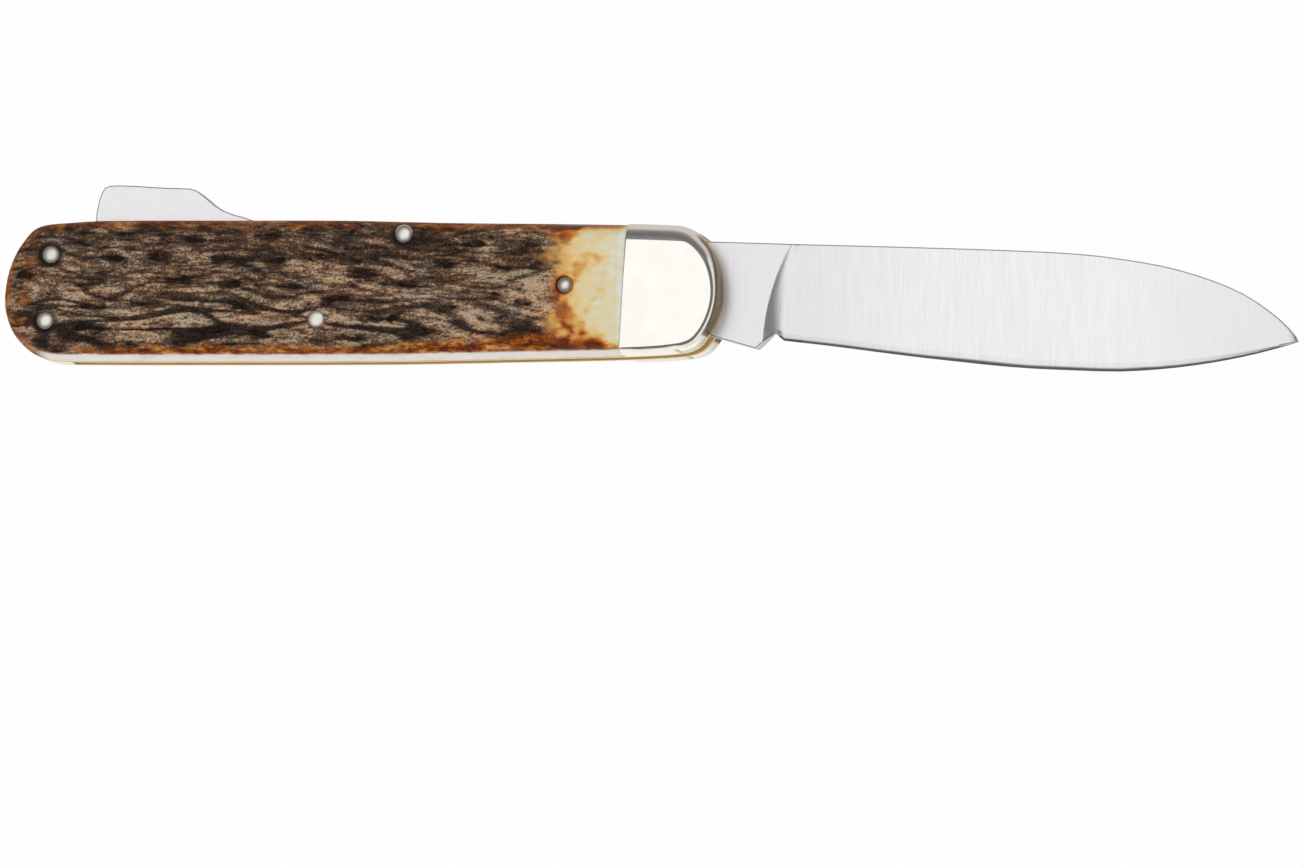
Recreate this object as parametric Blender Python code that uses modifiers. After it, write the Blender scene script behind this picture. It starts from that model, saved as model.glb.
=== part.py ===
import math

import bmesh
import bpy
import numpy as np

# A folding hunting knife with a back lock, blade open, lying on its far side.
# +X runs from the blade's pivot to its tip, +Y to the handle's back, +Z through the thickness.
# The origin is on the pivot's axis, in the plane of the far bolster's flat face. Lengths are metres.

# Layers through the thickness, and the gaps between them
blade_thickness = 0.0030
running_play = 0.00005  # blade and lock bar to each liner
liner_thickness = 0.0010
scale_thickness = 0.0050  # bolsters too
seat_gap = 0.00002  # between faces that are pressed together
pin_gap = 0.00003  # around a fixed pin
turning_gap = 0.00005  # around a pin that something turns on
overrun = 0.0020  # how far a cutter runs past what it cuts
weld_distance = 0.0000001  # points closer than this are one

# Blade, from the pivot
blade_reach = 0.0935
spine_height = 0.00764
tip_drop = 0.00747
belly_depth = 0.0119
ricasso_reach = 0.0034
ricasso_depth = 0.0064
kick_reach = 0.0110
kick_depth = 0.0085
choil_reach = 0.0137
choil_depth = 0.0061
heel_reach = 0.0150
heel_depth = 0.0072
plunge_top_reach = 0.0161
plunge_top_width = 0.0002  # of each of the two steps from ricasso to grind
edge_half = 0.00004  # half the thickness of the cutting edge
bevel_half = 0.00022  # half the thickness where the sharpened bevel starts
spine_shares = [  # along the reach, up from the tip to the spine's height
    (0.031, 1.0), (0.164, 0.974), (0.320, 0.948), (0.517, 0.909), (0.647, 0.868), (0.712, 0.819),
    (0.779, 0.749), (0.844, 0.639), (0.908, 0.479), (0.957, 0.280), (0.989, 0.100), (1.0, 0.0),
]
edge_shares = [  # from heel to tip, down from the tip to the belly
    (0.107, 0.155), (0.224, 0.426), (0.341, 0.663), (0.459, 0.868), (0.576, 0.967), (0.654, 1.0),
    (0.733, 0.922), (0.810, 0.764), (0.888, 0.516), (0.947, 0.268), (1.0, 0.0),
]
section_shares = (0.0, 0.2, 0.4, 0.6, 0.78, 0.93, 1.0)  # down each section, the last but one is the bevel
taper_start_share = 0.5  # along the reach, where the spine starts to thin
taper_bend = 1.5
tip_thickness_share = 0.3
plunge_foot_share = 0.4  # along the slope from kick to choil
plunge_bend = 1.9
ground_sections = 26
section_crowding = 1.5  # sections stand closer towards the tip

# Nail nick in the far face
nick_reach = 0.0300  # from the pivot to its middle
nick_drop = 0.0016  # its straight upper wall below the spine
nick_length = 0.0130
nick_width = 0.0026
nick_depth = 0.0006  # below the blade's full thickness

# Tang and lock
pivot_radius = 0.0020
pivot_seat_depth = 0.0030  # blind seat in each bolster
crown_radius = 0.0068  # of the tang, where the lock bar's nose passes over it
nose_gap = 0.00025  # nose to crown while the tab is pressed
nose_travel = 0.0013  # from there down into the notch
notch_gap = 0.00012
wall_draft = 0.00008
tooth_front = 0.0008  # ahead of the pivot
tooth_back = 0.0016  # behind it
tooth_height = 0.0009
kick_gap = 0.00011
edge_gap = 0.0004
fold_degrees = 173.0
crown_end_degrees = 287.0

# Lock bar
lock_pin_reach = 0.0421  # behind the pivot
lock_pin_depth = 0.00256  # below the handle's back
boss_radius = 0.00225
neck_thickness = 0.0019
bar_proud = 0.0001
step_gap = 0.0019  # bar's step behind the folded kick
tail_relief = 0.00065  # tail's underside above the bar's
tail_round = 0.0009
tab_length = 0.0243
tab_inset = 0.0133  # its rear foot ahead of the butt
tab_height = 0.0054  # above the handle's back
tab_shares = [  # from the tab's front foot, over its top, to its rear foot
    (0.064, 0.100), (0.123, 0.165), (0.195, 0.285), (0.250, 0.437), (0.294, 0.604), (0.342, 0.771),
    (0.372, 0.860), (0.410, 0.905), (0.489, 0.920), (0.608, 0.939), (0.730, 0.976), (0.855, 1.0),
    (0.917, 0.985), (0.952, 0.920), (0.969, 0.771), (0.980, 0.641), (0.990, 0.437), (1.0, 0.188),
]

# Handle
tip_gap = 0.0006  # folded tip to the butt spacer
butt_wall = 0.0096  # behind the folded tip
front_reach = 0.0059
lower_height = 0.0106
neck_back_share = 0.932  # height of the back over the neck, of the full height
back_shares = [  # front half of the outline, over the back to the butt: along the reach, up
    (1.0, 0.02), (0.949, 0.279), (0.780, 0.54), (0.559, 0.698), (0.36, 0.812), (0.12, 0.876),
    (-0.010, 0.904), (-0.096, 0.930), (-0.192, 0.944), (-0.327, 0.958), (-0.418, 0.977),
    (-0.5, 0.996), (-0.673, 1.0), (-0.86, 0.998), (-0.916, 0.966), (-0.941, 0.941), (-0.958, 0.870),
    (-0.973, 0.706), (-0.986, 0.500), (-0.997, 0.186),
]
lower_shares = [  # and back along the lower edge
    (-1.0, 0.217), (-0.990, 0.557), (-0.976, 0.740), (-0.957, 0.887), (-0.932, 0.975),
    (-0.890, 0.995), (-0.673, 1.0), (-0.433, 0.996), (-0.327, 0.980), (-0.212, 0.958), (-0.115, 0.939),
    (-0.048, 0.915), (0.0, 0.880), (0.36, 0.82), (0.59, 0.700), (0.830, 0.472), (0.975, 0.208),
]
joint_reach = 0.0083  # bolster to scale, behind the pivot
joint_lean = 0.0004  # the joint leans this much each way over the handle's height
bolster_round = 0.0021
scale_round = 0.0024
bolster_levels_share = [(0.0, 0.0), (0.5, 0.05), (0.7, 0.16), (0.86, 0.42), (0.96, 0.75), (1.0, 1.0)]
scale_levels_share = [(0.0, 0.0), (0.5, 0.14), (0.72, 0.28), (0.86, 0.49), (0.96, 0.76), (1.0, 1.0)]

# Main furrows of the bark, the same in both scales' faces
furrow_length = 0.0060
furrow_width = 0.0022
furrow_depth = 0.0007
furrow_rise = 0.0002  # of the cutter off the face
keel_share = 0.45  # of the length that is full depth
furrow_sides = 8
furrow_shares = [  # from the pivot to the butt, up to the back or down to the lower edge, of the length
    (0.963, -0.17, 0.58), (0.963, 0.19, 0.58), (0.873, 0.07, 0.70), (0.864, -0.55, 1.20),
    (0.862, -0.25, 0.84), (0.833, 0.43, 0.70), (0.815, 0.74, 0.70), (0.800, -0.79, 0.80),
    (0.783, -0.20, 1.00), (0.765, -0.50, 1.20), (0.765, 0.46, 1.00), (0.735, 0.14, 0.80),
    (0.712, 0.68, 0.70), (0.690, -0.58, 1.20), (0.675, 0.42, 0.70), (0.662, 0.07, 0.84),
    (0.650, -0.24, 0.70), (0.615, -0.66, 1.00), (0.607, 0.72, 0.80), (0.594, 0.38, 0.70),
    (0.574, 0.02, 0.90), (0.520, 0.46, 0.70), (0.500, -0.16, 1.00), (0.479, -0.70, 1.20),
    (0.465, 0.20, 1.00), (0.438, -0.42, 1.40), (0.392, 0.06, 1.00), (0.362, -0.62, 1.10),
    (0.345, 0.34, 0.80), (0.332, -0.28, 0.84), (0.300, 0.62, 0.74), (0.270, -0.42, 1.10),
    (0.270, -0.08, 0.90), (0.262, 0.26, 0.74), (0.255, -0.74, 1.20), (0.228, -0.20, 0.60),
    (0.215, 0.66, 0.70), (0.205, 0.30, 0.60),
]

# Fixed pins
shank_radius = 0.0011
head_radius = 0.0014
head_height = 0.0005
head_recess_radius = 0.0018
head_recess_depth = 0.0006
scale_pin_radius = 0.00135
scale_pin_drop = 0.00005  # below the scale's face
upper_pin_shares = (0.2, 0.482)  # into the butt wall, up the back
lower_pin_shares = (0.27, 0.45)
front_scale_pin_shares = (0.1663, 0.046)  # from the pivot to the butt, up the back
rear_scale_pin_shares = (0.5317, 0.436)  # and down the lower half

# Lever spring and butt spacer
leaf_thickness = 0.0008
leaf_side_gap = 0.0002  # narrower than the blade on each side
leaf_drop = 0.0021  # its root's middle below the tail
leaf_seat = 0.0084  # how deep its root sits in the spacer
leaf_free = 0.0225  # from the spacer to where it bears on the tail
leaf_tip = 0.0013
leaf_tip_drop = 0.0002
shelf_length = 0.0067  # of the spacer under the tail
shelf_wall = 0.0008  # above the leaf
shelf_depth = 0.0024  # below it
tail_gap = 0.0004

round_sides = 36
curve_steps = 3

# Places that follow from the sizes
fold_angle = math.radians(fold_degrees)
far_liner_low = scale_thickness
slot_low = scale_thickness + liner_thickness
slot_high = slot_low + blade_thickness + 2 * running_play
near_liner_high = slot_high + liner_thickness
total_thickness = near_liner_high + scale_thickness
middle = total_thickness / 2
tip_radius = math.hypot(blade_reach, tip_drop)
butt_reach = tip_radius + tip_gap + butt_wall
tail_reach = butt_reach - tab_inset
tab_front = tail_reach - tab_length
joint_gap_half = seat_gap / 2


def smooth_line(points, closed):
    """Points of a Catmull-Rom curve through the given ones."""
    points = [np.array(point, float) for point in points]
    count = len(points)
    line = []
    for i in range(count if closed else count - 1):
        if closed:
            a, b, c, d = (points[(i + k) % count] for k in (-1, 0, 1, 2))
        else:
            a, b, c, d = (points[min(max(i + k, 0), count - 1)] for k in (-1, 0, 1, 2))
        reach = np.linalg.norm(c - b)
        before = (c - a) / max(np.linalg.norm(b - a) + reach, 1e-9) * reach
        after = (d - b) / max(np.linalg.norm(d - c) + reach, 1e-9) * reach
        for step in range(curve_steps):
            t = step / curve_steps
            line.append(
                (2 * t**3 - 3 * t**2 + 1) * b
                + (t**3 - 2 * t**2 + t) * before
                + (3 * t**2 - 2 * t**3) * c
                + (t**3 - t**2) * after
            )
    if not closed:
        line.append(points[-1])
    return [tuple(point) for point in line]


def turned(point, angle):
    """The point turned about the blade's pivot."""
    x, y = point
    return (x * math.cos(angle) - y * math.sin(angle), x * math.sin(angle) + y * math.cos(angle))


def arc(centre, radius, start, end, steps):
    angles = np.linspace(start, end, steps + 1)
    return [(centre[0] + radius * math.cos(a), centre[1] + radius * math.sin(a)) for a in angles]


def on_crown(x):
    return (x, math.sqrt(crown_radius**2 - x**2))


def angle_of(point):
    return math.atan2(point[1], point[0])


# Blade outline

spine_line = smooth_line(
    [(x * blade_reach, -tip_drop + y * (spine_height + tip_drop)) for x, y in spine_shares], False
)
edge_line = smooth_line(
    [(heel_reach, -heel_depth)]
    + [
        (heel_reach + x * (blade_reach - heel_reach), -tip_drop - y * (belly_depth - tip_drop))
        for x, y in edge_shares
    ],
    False,
)


def height_on(line, x):
    xs, ys = zip(*line)
    return float(np.interp(x, xs, ys))


def folded(point):
    return turned(point, -fold_angle)


# Lock bar and handle back, worked out from the folded blade and the tang's crown

tooth_bottom = crown_radius + nose_gap
engage_angle = math.asin(nose_travel / (lock_pin_reach + (tooth_front - tooth_back) / 2))
notch_floor = tooth_bottom - nose_travel - notch_gap


def drop_at(x):
    """How far the bar comes down over x when its nose drops into the notch."""
    return (lock_pin_reach + x) * math.sin(engage_angle)


folded_kick = folded((kick_reach, -kick_depth))
folded_edge = [folded(point) for point in edge_line]
neck_underside = max(
    folded_kick[1] + drop_at(folded_kick[0]) + kick_gap,
    tooth_bottom + tooth_height,
)
bar_underside = edge_gap + max(y + max(drop_at(x), 0) for x, y in folded_edge)
tail_underside = bar_underside + tail_relief
back_height = (neck_underside + neck_thickness) / neck_back_share
lock_pin_place = (-lock_pin_reach, back_height - lock_pin_depth)

handle_outline = smooth_line(
    [
        (x * (front_reach if x > 0 else butt_reach), y * back_height) for x, y in back_shares
    ]
    + [
        (x * (front_reach if x > 0 else butt_reach), -y * lower_height) for x, y in lower_shares
    ],
    True,
)
back_line = sorted(point for point in handle_outline if point[1] > 0)
lower_line = sorted(point for point in handle_outline if point[1] < 0)

upper_pin_place = (
    -(tip_radius + tip_gap + upper_pin_shares[0] * butt_wall),
    upper_pin_shares[1] * back_height,
)
lower_pin_place = (
    -(tip_radius + tip_gap + lower_pin_shares[0] * butt_wall),
    -lower_pin_shares[1] * lower_height,
)
front_scale_pin_place = (-front_scale_pin_shares[0] * butt_reach, front_scale_pin_shares[1] * back_height)
rear_scale_pin_place = (-rear_scale_pin_shares[0] * butt_reach, -rear_scale_pin_shares[1] * lower_height)


def notch_corners(front_wall_top):
    """Front wall top, floor corners and back wall top of a notch, as it lies under the nose."""
    front = tooth_front + notch_gap
    back = -(tooth_back + notch_gap)
    return [front_wall_top, (front, notch_floor), (back, notch_floor), on_crown(back - wall_draft)]


def tang_outline():
    """From the plunge line's top, over the tang, to the plunge line's foot."""
    shoulder = (tooth_front + notch_gap + wall_draft, spine_height)
    spine = [(x, height_on(spine_line, x)) for x in np.linspace(plunge_top_reach, shoulder[0], 5)]
    open_notch = notch_corners(shoulder)
    # The closed position's notch has a sloping front wall, so the blade can be pulled open.
    ramp_top = on_crown(tooth_front + notch_gap + crown_radius - notch_floor)
    closed_notch = [turned(point, fold_angle) for point in notch_corners(ramp_top)]
    centre = (0, 0)
    full_turn = 2 * math.pi
    back_crown = arc(
        centre, crown_radius, angle_of(open_notch[-1]), angle_of(closed_notch[0]) + full_turn, 18
    )
    low_crown = arc(
        centre, crown_radius, angle_of(closed_notch[-1]) + full_turn, math.radians(crown_end_degrees), 2
    )
    return (
        spine[1:-1]
        + open_notch[:-1]
        + back_crown
        + closed_notch[1:-1]
        + low_crown
        + [(ricasso_reach, -ricasso_depth), (kick_reach, -kick_depth)]
    )


def ground_rows():
    """Sections of the near half of the blade from the plunge line to near the tip."""
    half = blade_thickness / 2

    def spine_half(x):
        start = taper_start_share * blade_reach
        thinned = min(max((x - start) / (blade_reach - start), 0), 1)
        return half * (1 - (1 - tip_thickness_share) * thinned**taper_bend)

    def ground_half(x, share):
        bevel_share = section_shares[-2]
        if share > bevel_share:
            return edge_half
        top = spine_half(x)
        return top + (bevel_half - top) * share / bevel_share

    def row(top, foot, bend, half_at):
        points = []
        for share in section_shares:
            x = foot[0] + (top[0] - foot[0]) * (1 - share) ** bend
            y = top[1] + (foot[1] - top[1]) * share
            points.append((x, y, half_at(x, share)))
        return points

    def spine_point(x):
        return (x, height_on(spine_line, x))

    kick = (kick_reach, -kick_depth)
    choil = (choil_reach, -choil_depth)
    heel = (heel_reach, -heel_depth)
    foot = tuple(a + plunge_foot_share * (b - a) for a, b in zip(kick, choil))
    near_heel = tuple((a + b) / 2 for a, b in zip(choil, heel))
    tops = [spine_point(plunge_top_reach + i * plunge_top_width) for i in range(4)]
    rows = [
        row(tops[0], foot, plunge_bend, lambda x, share: half),
        row(tops[1], choil, plunge_bend, lambda x, share: (half + ground_half(x, share)) / 2),
        row(tops[2], near_heel, plunge_bend, ground_half),
        row(tops[3], heel, plunge_bend / 2, ground_half),
    ]
    for i in range(1, ground_sections):
        share = 1 - (1 - i / ground_sections) ** section_crowding
        start = tops[3][0]
        x = start + share * (blade_reach - start)
        rows.append(row(spine_point(x), (x, height_on(edge_line, x)), 1, ground_half))
    return rows


# Blender helpers

for old in list(bpy.data.objects):
    bpy.data.objects.remove(old, do_unlink=True)

knife = bpy.data.collections.new("hunting_knife")
cutters = bpy.data.collections.new("cutters")
bpy.context.scene.collection.children.link(knife)
bpy.context.scene.collection.children.link(cutters)


def make_material(name, colour, roughness, metallic):
    material = bpy.data.materials.new(name)
    material.use_nodes = True
    shader = material.node_tree.nodes["Principled BSDF"]
    shader.inputs["Base Color"].default_value = (*colour, 1)
    shader.inputs["Roughness"].default_value = roughness
    shader.inputs["Metallic"].default_value = metallic
    return material


blade_steel = make_material("blade_steel", (0.72, 0.72, 0.73), 0.3, 1)
bar_steel = make_material("bar_steel", (0.62, 0.62, 0.62), 0.35, 1)
spring_steel = make_material("spring_steel", (0.42, 0.43, 0.45), 0.35, 1)
brass = make_material("brass", (0.79, 0.60, 0.33), 0.3, 1)
nickel_silver = make_material("nickel_silver", (0.83, 0.80, 0.73), 0.15, 1)
stag = make_material("stag", (0.26, 0.17, 0.10), 0.55, 0)


def add_object(name, data, material=None, place=(0, 0, 0)):
    piece = bpy.data.objects.new(name, data)
    (knife if material else cutters).objects.link(piece)
    if material:
        data.materials.append(material)
    else:
        piece.hide_render = True
        piece.display_type = "WIRE"
    piece.location = place
    return piece


def shade(mesh):
    mesh.shade_smooth()
    mesh.set_sharp_from_angle(angle=math.radians(30))


def flat_piece(name, outline, low, high, material=None, place=(0, 0)):
    """A flat outline as thick as from low to high, with its origin over place."""
    curve = bpy.data.curves.new(name, "CURVE")
    curve.dimensions = "2D"
    curve.fill_mode = "BOTH"
    curve.extrude = (high - low) / 2
    spline = curve.splines.new("POLY")
    spline.points.add(len(outline) - 1)
    for point, (x, y) in zip(spline.points, outline):
        point.co = (x - place[0], y - place[1], 0, 1)
    spline.use_cyclic_u = True
    guide = bpy.data.objects.new(name + "_outline", curve)
    cutters.objects.link(guide)
    guide.location = (*place, (low + high) / 2)
    bpy.context.view_layer.update()
    graph = bpy.context.evaluated_depsgraph_get()
    mesh = bpy.data.meshes.new_from_object(guide.evaluated_get(graph))
    mesh.materials.clear()
    matrix = guide.matrix_world.copy()
    bpy.data.objects.remove(guide, do_unlink=True)
    shape = bmesh.new()
    shape.from_mesh(mesh)
    bmesh.ops.remove_doubles(shape, verts=shape.verts, dist=weld_distance)
    bmesh.ops.recalc_face_normals(shape, faces=shape.faces)
    shape.to_mesh(mesh)
    shape.free()
    shade(mesh)
    piece = add_object(name, mesh, material)
    piece.matrix_world = matrix
    return piece


def cylinder(name, place, radius, low, high, material=None):
    mesh = bpy.data.meshes.new(name)
    shape = bmesh.new()
    bmesh.ops.create_cone(
        shape, cap_ends=True, segments=round_sides, radius1=radius, radius2=radius, depth=high - low
    )
    shape.to_mesh(mesh)
    shape.free()
    shade(mesh)
    return add_object(name, mesh, material, (*place, (low + high) / 2))


def cut(piece, cutter):
    modifier = piece.modifiers.new(cutter.name, "BOOLEAN")
    modifier.operation = "DIFFERENCE"
    modifier.solver = "EXACT"
    modifier.object = cutter


def crowned_slab(name, levels, rounding, from_z, to_z, keep_front, material):
    """The handle's outline drawn in towards its face, as far as the joint."""
    outline = np.array(handle_outline)
    along = np.roll(outline, -1, axis=0) - np.roll(outline, 1, axis=0)
    inward = np.stack([-along[:, 1], along[:, 0]], axis=1)
    inward /= np.linalg.norm(inward, axis=1)[:, None]
    shape = bmesh.new()
    rings = []
    for height_share, inset_share in levels:
        ring = outline + inward * inset_share * rounding
        z = from_z + height_share * (to_z - from_z)
        rings.append([shape.verts.new((x, y, z)) for x, y in ring])
    edges = [
        [shape.edges.new((ring[i - 1], ring[i])) for i in range(len(ring))] for ring in rings
    ]
    for lower, upper in zip(edges, edges[1:]):
        bmesh.ops.bridge_loops(shape, edges=lower + upper)
    for ring in (rings[0], rings[-1]):
        shape.faces.new(ring)
    side = 1 if keep_front else -1
    foot = -joint_reach + side * joint_gap_half
    bmesh.ops.bisect_plane(
        shape,
        geom=shape.verts[:] + shape.edges[:] + shape.faces[:],
        dist=weld_distance,
        plane_co=(foot, 0, 0),
        plane_no=(side * back_height, -side * joint_lean, 0),
        clear_inner=True,
    )
    rim = [edge for edge in shape.edges if edge.is_boundary]
    bmesh.ops.contextual_create(shape, geom=rim)
    bmesh.ops.recalc_face_normals(shape, faces=shape.faces)
    mesh = bpy.data.meshes.new(name)
    shape.to_mesh(mesh)
    shape.free()
    shade(mesh)
    return add_object(name, mesh, material)


def furrows(name, face, outward):
    """Boat-shaped cutters, each with its deck just off the face and its keel inside the scale."""
    grown = (furrow_depth + furrow_rise) / furrow_depth
    mesh = bpy.data.meshes.new(name)
    shape = bmesh.new()
    for along, up, share in furrow_shares:
        x = -along * butt_reach
        y = up * (back_height if up > 0 else lower_height)
        half_length = share * furrow_length / 2
        boat = []
        for i in range(furrow_sides):
            angle = 2 * math.pi * i / furrow_sides
            side = math.sin(angle) * abs(math.sin(angle)) * furrow_width / 2
            end = math.cos(angle) * half_length
            deck = (x + end * grown, y + side * grown, face + outward * furrow_rise)
            boat.append(shape.verts.new(deck))
        for end in (-1, 1):
            keel = (x + end * half_length * keel_share, y, face - outward * furrow_depth)
            boat.append(shape.verts.new(keel))
        bmesh.ops.convex_hull(shape, input=boat)
    shape.to_mesh(mesh)
    shape.free()
    return add_object(name, mesh)


def turned_pin(name, place, material):
    """A pin through the whole handle with a domed head in a recess at each end."""
    floor = head_recess_depth - pin_gap
    top = total_thickness / 2 - floor
    dome = [
        (head_radius * math.sin(a), top + head_height * math.cos(a))
        for a in np.linspace(0, math.pi / 2, 5)
    ]
    upper = dome + [(shank_radius, top)]
    lower = [(radius, -z) for radius, z in reversed(upper)]
    mesh = bpy.data.meshes.new(name)
    profile = [(radius, 0, z) for radius, z in upper + lower]
    mesh.from_pydata(profile, [(i, i + 1) for i in range(len(profile) - 1)], [])
    pin = add_object(name, mesh, material, (*place, middle))
    screw = pin.modifiers.new("turned", "SCREW")
    screw.steps = round_sides
    screw.render_steps = round_sides
    screw.use_merge_vertices = True
    screw.merge_threshold = weld_distance
    screw.use_smooth_shade = True
    return pin


def pin_hole(name, place, radius):
    return cylinder(name, place, radius, -overrun, total_thickness + overrun)


def head_recesses(name, place):
    low = cylinder(name + "_far_recess", place, head_recess_radius, -overrun, head_recess_depth)
    high = cylinder(
        name + "_near_recess",
        place,
        head_recess_radius,
        total_thickness - head_recess_depth,
        total_thickness + overrun,
    )
    return low, high


# Pieces


def build_blade():
    shape = bmesh.new()
    rows = [[shape.verts.new(point) for point in row] for row in ground_rows()]
    tip = shape.verts.new((blade_reach, -tip_drop, 0))
    tang = [shape.verts.new((x, y, blade_thickness / 2)) for x, y in tang_outline()]
    shape.faces.new(tang + rows[0][::-1])
    for left, right in zip(rows, rows[1:]):
        for i in range(len(left) - 1):
            shape.faces.new((left[i], left[i + 1], right[i + 1], right[i]))
    for upper, lower in zip(rows[-1], rows[-1][1:]):
        shape.faces.new((upper, lower, tip))
    rim = tang + [row[-1] for row in rows] + [tip] + [row[0] for row in reversed(rows)]
    middle_rim = [vert if vert is tip else shape.verts.new((vert.co.x, vert.co.y, 0)) for vert in rim]
    for i in range(len(rim)):
        corners = (rim[i - 1], middle_rim[i - 1], middle_rim[i], rim[i])
        shape.faces.new(list(dict.fromkeys(corners)))
    mesh = bpy.data.meshes.new("blade")
    shape.to_mesh(mesh)
    shape.free()
    shade(mesh)
    blade = add_object("blade", mesh, blade_steel, (0, 0, middle))
    mirror = blade.modifiers.new("two_sides", "MIRROR")
    mirror.use_axis = (False, False, True)
    mirror.merge_threshold = weld_distance
    cut(blade, pin_hole("blade_pivot_hole", (0, 0), pivot_radius + turning_gap))

    # The nick is the print of a wheel that leans over, so its upper wall is straight and steep.
    half_length = nick_length / 2
    shares = np.linspace(-1, 1, 13)
    print_line = [(half_length * share, nick_depth * (1 - share**2)) for share in shares]
    wheel = flat_piece(
        "nail_nick", print_line + [(half_length, -overrun), (-half_length, -overrun)], 0, nick_width
    )
    lean = math.atan(nick_depth / nick_width)
    half_width = nick_width / 2
    wheel.location = (
        nick_reach,
        height_on(spine_line, nick_reach) - nick_drop - half_width * math.cos(lean),
        middle - blade_thickness / 2 - half_width * math.sin(lean),
    )
    wheel.rotation_euler = (math.pi / 2 + lean, 0, 0)
    cut(blade, wheel)
    return blade


def build_lock_bar():
    back_xs = [-tooth_back, -joint_reach / 2] + list(np.linspace(-joint_reach, -tab_front, 6))
    back = [(x, height_on(back_line, x) + bar_proud) for x in back_xs]
    nose = [
        (tooth_front, tooth_bottom),
        (tooth_front + wall_draft, height_on(back_line, tooth_front) - bar_proud),
    ]
    tab = [
        (-tab_front - x * tab_length, back_height + bar_proud + y * tab_height) for x, y in tab_shares
    ]
    tail = [(-tail_reach, back_height - tail_round)] + arc(
        (tail_round - tail_reach, tail_underside + tail_round), tail_round, math.pi, math.pi * 1.5, 3
    )
    pin_x, pin_y = lock_pin_place
    boss_end = pin_x - boss_radius
    boss = [(boss_end, tail_underside), (boss_end + wall_draft, bar_underside)]
    if pin_y - boss_radius < bar_underside:
        start = math.pi - math.asin(max((tail_underside - pin_y) / boss_radius, -1))
        end = 2 * math.pi + math.asin(max((bar_underside - pin_y) / boss_radius, -1))
        boss = arc(lock_pin_place, boss_radius, start, end, 10)
    step_x = folded_kick[0] - step_gap
    neck = [
        (step_x, bar_underside),
        (step_x + wall_draft, neck_underside),
        (-tooth_back - wall_draft, neck_underside),
        (-tooth_back, tooth_bottom),
    ]
    low = middle - blade_thickness / 2
    outline = nose + back + tab + tail + boss + neck
    bar = flat_piece("lock_bar", outline, low, low + blade_thickness, bar_steel, lock_pin_place)
    cut(bar, pin_hole("lock_bar_hole", lock_pin_place, shank_radius + turning_gap))
    return bar


def leaf_place():
    return shelf_length - tail_reach, tail_underside - leaf_drop


def build_lever_spring():
    front, root_y = leaf_place()
    top_y = tail_underside - pin_gap - leaf_thickness / 2
    line = smooth_line(
        [
            (front - leaf_seat + seat_gap, root_y),
            (front - leaf_seat / 2, root_y),
            (front, root_y),
            (front + leaf_thickness, root_y),
            (front + leaf_free / 2, (root_y + top_y) / 2),
            (front + leaf_free, top_y),
            (front + leaf_free + leaf_tip, top_y - leaf_tip_drop),
        ],
        False,
    )
    line = np.array(line)
    along = np.gradient(line, axis=0)
    up = np.stack([-along[:, 1], along[:, 0]], axis=1)
    up /= np.linalg.norm(up, axis=1)[:, None]
    lower = line - up * leaf_thickness / 2
    upper = line + up * leaf_thickness / 2
    outline = [tuple(point) for point in lower] + [tuple(point) for point in upper[::-1]]
    half_width = blade_thickness / 2 - leaf_side_gap
    return flat_piece("lever_spring", outline, middle - half_width, middle + half_width, spring_steel)


def build_butt_spacer():
    front, root_y = leaf_place()
    behind_tail = -tail_reach - tail_gap
    swept = tip_radius + tip_gap
    tip_angle = angle_of(folded((blade_reach, -tip_drop))) + 2 * math.pi
    arc_top = tip_angle - tip_gap / swept
    arc_end = math.pi + math.asin(lower_height / swept)
    round_butt = [(behind_tail, height_on(back_line, behind_tail))]
    low_x = swept * math.cos(arc_end)
    round_butt += [
        (x, y) for x, y in handle_outline if x < (behind_tail if y > 0 else low_x)
    ]
    tip_arc = arc((0, 0), swept, arc_end, arc_top, 6)
    edge_y = height_on(sorted(folded_edge), front)
    slot_half = leaf_thickness / 2 + seat_gap
    shelf = [
        (front, max(edge_y + tip_gap, root_y - slot_half - shelf_depth)),
        (front, root_y - slot_half),
        (front - leaf_seat, root_y - slot_half),
        (front - leaf_seat, root_y + slot_half),
        (front, root_y + slot_half),
        (front, root_y + slot_half + shelf_wall),
        (behind_tail, root_y + slot_half + shelf_wall),
    ]
    outline = round_butt + tip_arc + shelf
    low = slot_low + seat_gap
    spacer = flat_piece("butt_spacer", outline, low, slot_high - seat_gap, bar_steel)
    return spacer


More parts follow.
